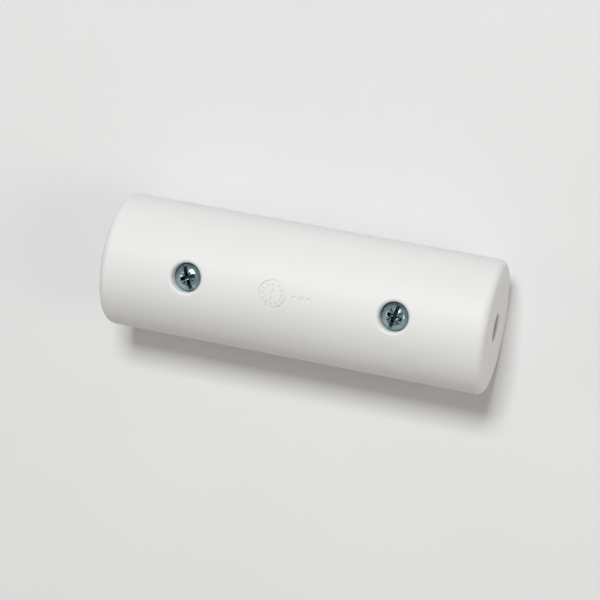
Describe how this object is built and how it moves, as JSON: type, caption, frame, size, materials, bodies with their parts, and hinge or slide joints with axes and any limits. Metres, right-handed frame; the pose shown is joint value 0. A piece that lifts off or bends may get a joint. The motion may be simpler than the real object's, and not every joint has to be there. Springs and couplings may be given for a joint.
{
  "type": "in-line cable connector",
  "caption": "Cylindrical in-line connector: two white plastic half shells screwed together round a terminal block and cord grips, with a cord entry at each end.",
  "frame": {"origin": "middle of the body, on the cable's axis and in the plane where the two shells meet", "axes": "+X along the cable, +Z along the cover screws towards their heads, +Y across the body"},
  "size_m": [0.093, 0.032, 0.032],
  "materials": {
    "shell_plastic": "satin moulded white plastic",
    "blue_zinc": "blue passivated zinc plate",
    "plain_zinc": "clear zinc plate",
    "block_plastic": "natural nylon",
    "terminal_brass": "machined brass",
    "grip_plastic": "moulded nylon"
  },
  "bodies": {
    "lower_half": {"lower_shell": "shell_plastic", "cover_nut_left": "plain_zinc", "cover_nut_right": "plain_zinc", "terminal_body": "block_plastic", "terminal_tube_1": "terminal_brass", "terminal_tube_2": "terminal_brass", "terminal_tube_3": "terminal_brass"},
    "upper_half": {"upper_shell": "shell_plastic"},
    "left_cover_screw": {"cover_screw_left": "blue_zinc"},
    "right_cover_screw": {"cover_screw_right": "blue_zinc"},
    "terminal_screw_1_left": {"terminal_screw_1_left": "plain_zinc"},
    "terminal_screw_1_right": {"terminal_screw_1_right": "plain_zinc"},
    "terminal_screw_2_left": {"terminal_screw_2_left": "plain_zinc"},
    "terminal_screw_2_right": {"terminal_screw_2_right": "plain_zinc"},
    "terminal_screw_3_left": {"terminal_screw_3_left": "plain_zinc"},
    "terminal_screw_3_right": {"terminal_screw_3_right": "plain_zinc"},
    "left_grip_bar": {"grip_bar_left": "grip_plastic"},
    "right_grip_bar": {"grip_bar_right": "grip_plastic"},
    "left_front_grip_screw": {"grip_screw_left_front": "plain_zinc"},
    "left_back_grip_screw": {"grip_screw_left_back": "plain_zinc"},
    "right_front_grip_screw": {"grip_screw_right_front": "plain_zinc"},
    "right_back_grip_screw": {"grip_screw_right_back": "plain_zinc"}
  },
  "joints": [
    {"name": "cover_lift", "type": "slide", "parent": "lower_half", "child": "upper_half", "axis": [0, 0, 1], "range_m": [0, 0.03]},
    {"name": "left_cover_screw_out", "type": "slide", "parent": "upper_half", "child": "left_cover_screw", "axis": [0, 0, 1], "range_m": [0, 0.012]},
    {"name": "right_cover_screw_out", "type": "slide", "parent": "upper_half", "child": "right_cover_screw", "axis": [0, 0, 1], "range_m": [0, 0.012]},
    {"name": "terminal_1_left_out", "type": "slide", "parent": "lower_half", "child": "terminal_screw_1_left", "axis": [0, 0, 1], "range_m": [-0.0012, 0.003]},
    {"name": "terminal_1_right_out", "type": "slide", "parent": "lower_half", "child": "terminal_screw_1_right", "axis": [0, 0, 1], "range_m": [-0.0012, 0.003]},
    {"name": "terminal_2_left_out", "type": "slide", "parent": "lower_half", "child": "terminal_screw_2_left", "axis": [0, 0, 1], "range_m": [-0.0012, 0.003]},
    {"name": "terminal_2_right_out", "type": "slide", "parent": "lower_half", "child": "terminal_screw_2_right", "axis": [0, 0, 1], "range_m": [-0.0012, 0.003]},
    {"name": "terminal_3_left_out", "type": "slide", "parent": "lower_half", "child": "terminal_screw_3_left", "axis": [0, 0, 1], "range_m": [-0.0012, 0.003]},
    {"name": "terminal_3_right_out", "type": "slide", "parent": "lower_half", "child": "terminal_screw_3_right", "axis": [0, 0, 1], "range_m": [-0.0012, 0.003]},
    {"name": "left_grip", "type": "slide", "parent": "lower_half", "child": "left_grip_bar", "axis": [0, 0, 1], "range_m": [-0.0015, 0.002]},
    {"name": "right_grip", "type": "slide", "parent": "lower_half", "child": "right_grip_bar", "axis": [0, 0, 1], "range_m": [-0.0015, 0.002]},
    {"name": "left_front_grip_screw_out", "type": "slide", "parent": "lower_half", "child": "left_front_grip_screw", "axis": [0, 0, 1], "range_m": [-0.0015, 0.002]},
    {"name": "left_back_grip_screw_out", "type": "slide", "parent": "lower_half", "child": "left_back_grip_screw", "axis": [0, 0, 1], "range_m": [-0.0015, 0.002]},
    {"name": "right_front_grip_screw_out", "type": "slide", "parent": "lower_half", "child": "right_front_grip_screw", "axis": [0, 0, 1], "range_m": [-0.0015, 0.002]},
    {"name": "right_back_grip_screw_out", "type": "slide", "parent": "lower_half", "child": "right_back_grip_screw", "axis": [0, 0, 1], "range_m": [-0.0015, 0.002]}
  ],
  "couplings": [
    {"joint": "left_front_grip_screw_out", "follows": "left_grip", "ratio": 1},
    {"joint": "left_back_grip_screw_out", "follows": "left_grip", "ratio": 1},
    {"joint": "right_front_grip_screw_out", "follows": "right_grip", "ratio": 1},
    {"joint": "right_back_grip_screw_out", "follows": "right_grip", "ratio": 1}
  ]
}
